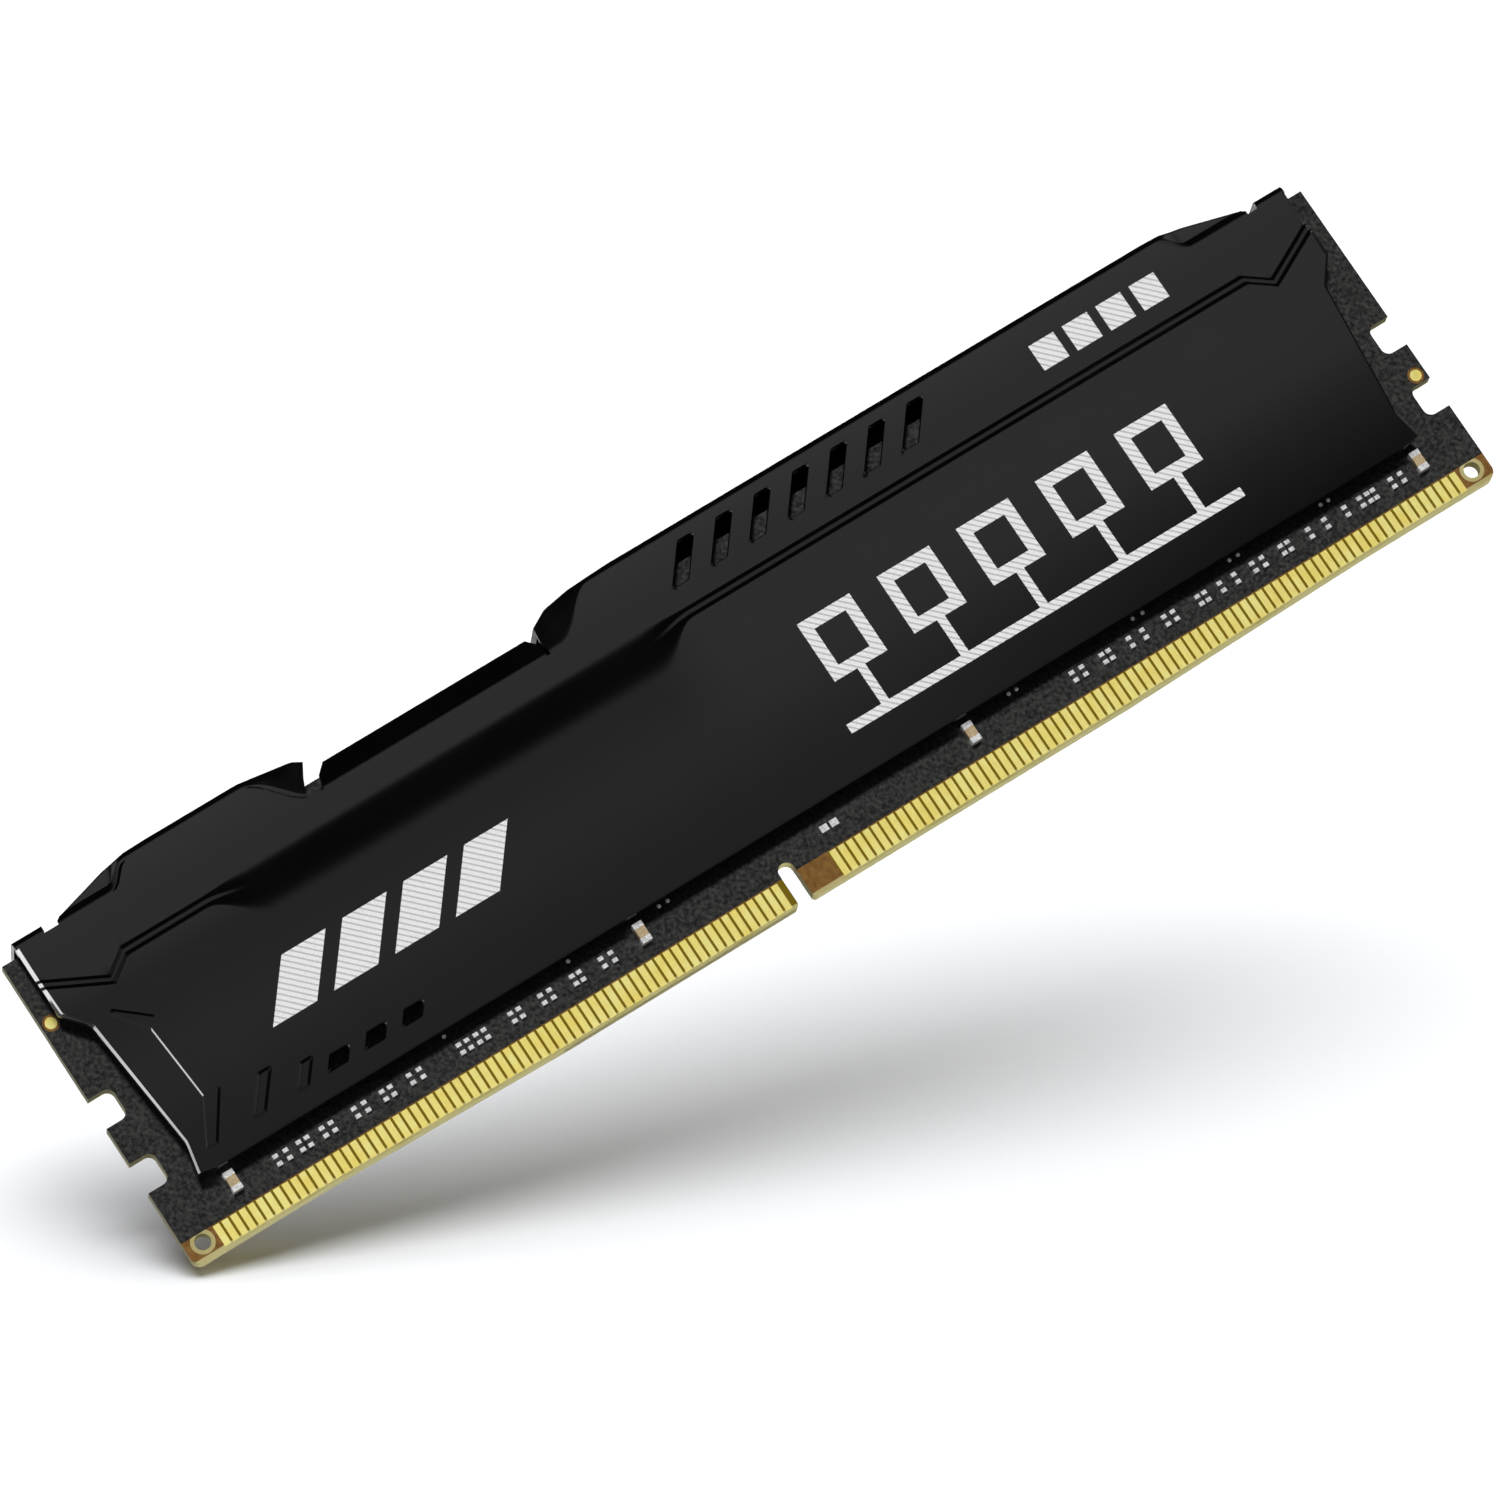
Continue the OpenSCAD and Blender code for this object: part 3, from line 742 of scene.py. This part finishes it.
def ink():
    """Silver-white screen print with a fine slanted hatch and dry patches."""
    mat, tree, shader = material("ink", (0.7, 0.7, 0.7), 0.5)
    waves = add(tree, "ShaderNodeTexWave", {"Vector": millimetres(tree)},
                bands_direction="DIAGONAL", Scale=0.9)
    fine = ramp(tree, waves.outputs["Fac"], [(0.12, 0.62), (0.3, 1.0)])
    dry = ramp(tree, noise(tree, 6.0, 3.0), [(0.25, 0.72), (0.5, 0.86)])
    tree.links.new(blend_colors(tree, 1.0, fine, dry, "MULTIPLY"), shader.inputs["Base Color"])
    bump(tree, shader, dry, 0.3, 0.01)
    return mat


def dress_cad_nodes():
    """Gives every carried-over CAD node its slot's material and softens the small blocks."""
    makers = {f.__name__: f for f in (solder_mask, gold, laminate, package, thermal_pad,
                                      resistor_body, tin, capacitor_body, ink)}
    made = {name: make() for name, make in makers.items()}
    for part in frame["record"]["subparts"]:
        node, slot = part["node"], part["material_slot"]
        if node.startswith("heat_spreader"):
            continue
        obj = bpy.data.objects[node]
        obj.data.materials.clear()
        obj.data.materials.append(made[slot])
        if node.startswith(("resistor", "capacitor", "decoupling", "dram", "spd")):
            bevel = obj.modifiers.new("soft", "BEVEL")
            bevel.width = (RESISTOR_BEVEL if node.startswith("resistor") else SMALL_BEVEL) * MM
            bevel.segments = 2
            bevel.limit_method = "ANGLE"


# ---- Stage, light and camera ----

WORLD_STOPS = [(0.0, 0.6), (0.45, 0.7), (0.58, 0.85), (0.615, 1.0), (0.65, 1.15), (0.675, 0.01),
               (1.0, 0.004)]
LEFT_STOPS = [(0.0, 1.0), (0.31, 1.0), (0.35, 0.0)]
HIGH_STOPS = [(0.0, 0.8), (0.75, 1.2), (0.9, 1.1), (0.96, 0.4), (1.0, 0.0)]
RIGHT_STOPS = [(0.72, 0.0), (0.8, 1.0)]
CORNER_STOPS = [(0.6, 0.0), (0.65, 0.9), (0.76, 0.9), (0.81, 0.0)]
DARK_STOPS = [(0.0, 1.0), (0.7, 1.0), (0.85, 0.1), (1.0, 0.06)]
FILL = 0.06
LEFT_FROM = (-0.93, -0.3, 0.2)
LEFT_SIZE = (0.95, 0.5)
LEFT_RADIANCE = 24
GROUND_TILT = 25.0
LOW_CORNER = (-0.0667, 0.0, -0.0005)

CAMERA = {
    "place": (-0.17618, -0.76073, -0.14854),
    "right": (0.83539, -0.07466, -0.54457),
    "up": (0.50448, -0.28924, 0.81354),
    "forward": (0.21825, 0.95434, 0.20396),
    "lens": 223.3,
}

STAGE_SIZE = 3.0
STAGE_COLOR = (0.88, 0.89, 0.91)
STAGE_GLOW = 0.02

OVERHEAD_LEAN = 0.25
SUNS = [
    ("key", (0.05, -0.95, 0.34), 2.85, 9),
    ("bounce", (0.0, 0.03, -1.0), 2.2, 5),
    ("back_key", (0.25, 0.9, 0.45), 2.0, 15),
]
OVERHEAD_STRENGTH = 4.0
OVERHEAD_SPREAD = 66

def stage_material(name, color, glow):
    """Matt pale surface that is only there from its front side."""
    mat, tree, shader = material(name, color, 1.0)
    shader.inputs["Specular IOR Level"].default_value = 0.0
    shader.inputs["Emission Color"].default_value = (1, 1, 1, 1)
    shader.inputs["Emission Strength"].default_value = glow
    geometry = tree.nodes.new("ShaderNodeNewGeometry")
    clear = tree.nodes.new("ShaderNodeBsdfTransparent")
    choose = add(tree, "ShaderNodeMixShader", {0: geometry.outputs["Backfacing"]})
    tree.links.new(shader.outputs[0], choose.inputs[1])
    tree.links.new(clear.outputs[0], choose.inputs[2])
    tree.links.new(choose.outputs[0], tree.nodes["Material Output"].inputs["Surface"])
    return mat


def add_plane(name, size, place, normal, mat):
    """A square stage surface. It catches shadows and lights nothing."""
    half = size / 2
    mesh = bpy.data.meshes.new(name)
    mesh.from_pydata([(-half, -half, 0), (half, -half, 0), (half, half, 0), (-half, half, 0)], [],
                     [(0, 1, 2, 3)])
    mesh.materials.append(mat)
    obj = bpy.data.objects.new(name, mesh)
    bpy.context.scene.collection.objects.link(obj)
    obj.location = place
    obj.rotation_mode = "QUATERNION"
    obj.rotation_quaternion = Vector(normal).to_track_quat("Z", "Y")
    obj.visible_diffuse = False
    obj.visible_glossy = False
    obj.visible_transmission = False
    obj.visible_shadow = False
    return obj


def aim(obj, direction):
    """Turns a lamp so that its light comes from a direction."""
    obj.rotation_mode = "QUATERNION"
    obj.rotation_quaternion = Vector(direction).to_track_quat("Z", "Y")
    bpy.context.scene.collection.objects.link(obj)
    return obj


def add_sun(name, direction, strength, spread_deg):
    """Distant soft light that leaves no highlight."""
    lamp = bpy.data.lights.new(name, "SUN")
    lamp.energy = strength
    lamp.angle = math.radians(spread_deg)
    obj = aim(bpy.data.objects.new(name, lamp), direction)
    obj.visible_glossy = False
    return obj


def add_strip(name, direction, size, radiance, distance=1.0):
    """A soft box that only shows in reflections."""
    lamp = bpy.data.lights.new(name, "AREA")
    lamp.shape = "RECTANGLE"
    lamp.size, lamp.size_y = size
    lamp.energy = radiance * math.pi * size[0] * size[1]
    obj = aim(bpy.data.objects.new(name, lamp), direction)
    obj.location = Vector(direction).normalized() * distance
    obj.visible_diffuse = False
    return obj


def build_world():
    """Studio surround, tuned to the photo's reflections.

    It is bright low down, up the left, and on the right a little above the horizon. It is dark
    overhead and low on the right. The camera sees plain white, and matt surfaces an even fill.
    """
    world = bpy.data.worlds.new("studio")
    bpy.context.scene.world = world
    world.use_nodes = True
    tree = world.node_tree
    place = tree.nodes.new("ShaderNodeTexCoord")
    split = add(tree, "ShaderNodeSeparateXYZ", {0: place.outputs["Generated"]})
    height = math_node(tree, "ADD", math_node(tree, "MULTIPLY", split.outputs["Z"], 0.5), 0.5)
    across = math_node(tree, "ADD", math_node(tree, "MULTIPLY", split.outputs["X"], 0.5), 0.5)
    middle = ramp(tree, height, WORLD_STOPS)
    sides = blend_colors(tree, 1.0, ramp(tree, across, LEFT_STOPS), ramp(tree, height, HIGH_STOPS),
                         "MULTIPLY")
    corner = blend_colors(tree, 1.0, ramp(tree, across, RIGHT_STOPS),
                          ramp(tree, height, CORNER_STOPS), "MULTIPLY")
    middle = blend_colors(tree, 1.0, middle, ramp(tree, across, DARK_STOPS), "MULTIPLY")
    shade = blend_colors(tree, 1.0, middle, sides, "LIGHTEN")
    shade = blend_colors(tree, 1.0, shade, corner, "LIGHTEN")
    rays = add(tree, "ShaderNodeLightPath")
    shade = blend_colors(tree, rays.outputs["Is Diffuse Ray"], shade, (FILL, FILL, FILL))
    back = tree.nodes["Background"]
    tree.links.new(blend_colors(tree, rays.outputs["Is Camera Ray"], shade, (1.0, 1.0, 1.0)),
                   back.inputs["Color"])
    back.inputs["Strength"].default_value = 1.0


def build_camera():
    data = bpy.data.cameras.new("camera")
    data.lens = CAMERA["lens"]
    data.sensor_width = 36
    data.clip_start, data.clip_end = 0.01, 20
    obj = bpy.data.objects.new("camera", data)
    axes = [Vector(CAMERA["right"]), Vector(CAMERA["up"]), -Vector(CAMERA["forward"])]
    turn = Matrix(axes).transposed().to_4x4()
    obj.matrix_world = Matrix.Translation(CAMERA["place"]) @ turn
    bpy.context.scene.collection.objects.link(obj)
    bpy.context.scene.camera = obj


def ground_up():
    """Upright direction of the ground that the leaning module rests its low corner on."""
    tilt = math.radians(GROUND_TILT)
    return Vector(CAMERA["up"]) * math.cos(tilt) - Vector(CAMERA["forward"]) * math.sin(tilt)


def build_stage():
    """An upright floor, and the tilted ground that the module rests its corner on."""
    mat = stage_material("stage", STAGE_COLOR, STAGE_GLOW)
    return [add_plane("floor", STAGE_SIZE, (0, 0, 0), (0, 0, 1), mat),
            add_plane("ground", STAGE_SIZE, LOW_CORNER, ground_up(), mat)]


def link_light(lamp, objects, state):
    """Makes a lamp light only these objects (INCLUDE) or everything else (EXCLUDE)."""
    group = bpy.data.collections.new(f"{lamp.name}_link")
    for obj in objects:
        group.objects.link(obj)
    for entry in group.collection_objects:
        entry.light_linking.link_state = state
    lamp.light_linking.receiver_collection = group


def build_lights(stage):
    """Key, bounce and back suns light the module; the overhead one only lights the stage."""
    for name, direction, strength, spread in SUNS:
        link_light(add_sun(name, direction, strength, spread), stage, "EXCLUDE")
    overhead = ground_up() + Vector(CAMERA["forward"]) * OVERHEAD_LEAN
    lamp = add_sun("overhead", overhead, OVERHEAD_STRENGTH, OVERHEAD_SPREAD)
    link_light(lamp, stage, "INCLUDE")
    add_strip("left_strip", LEFT_FROM, LEFT_SIZE, LEFT_RADIANCE)


def main():
    paint = spreader_paint()
    for name, side in SIDES.items():
        build_spreader(name, side).data.materials.append(paint)
    dress_cad_nodes()
    build_world()
    build_lights(build_stage())
    build_camera()
    bpy.context.scene.view_settings.view_transform = "Standard"


main()
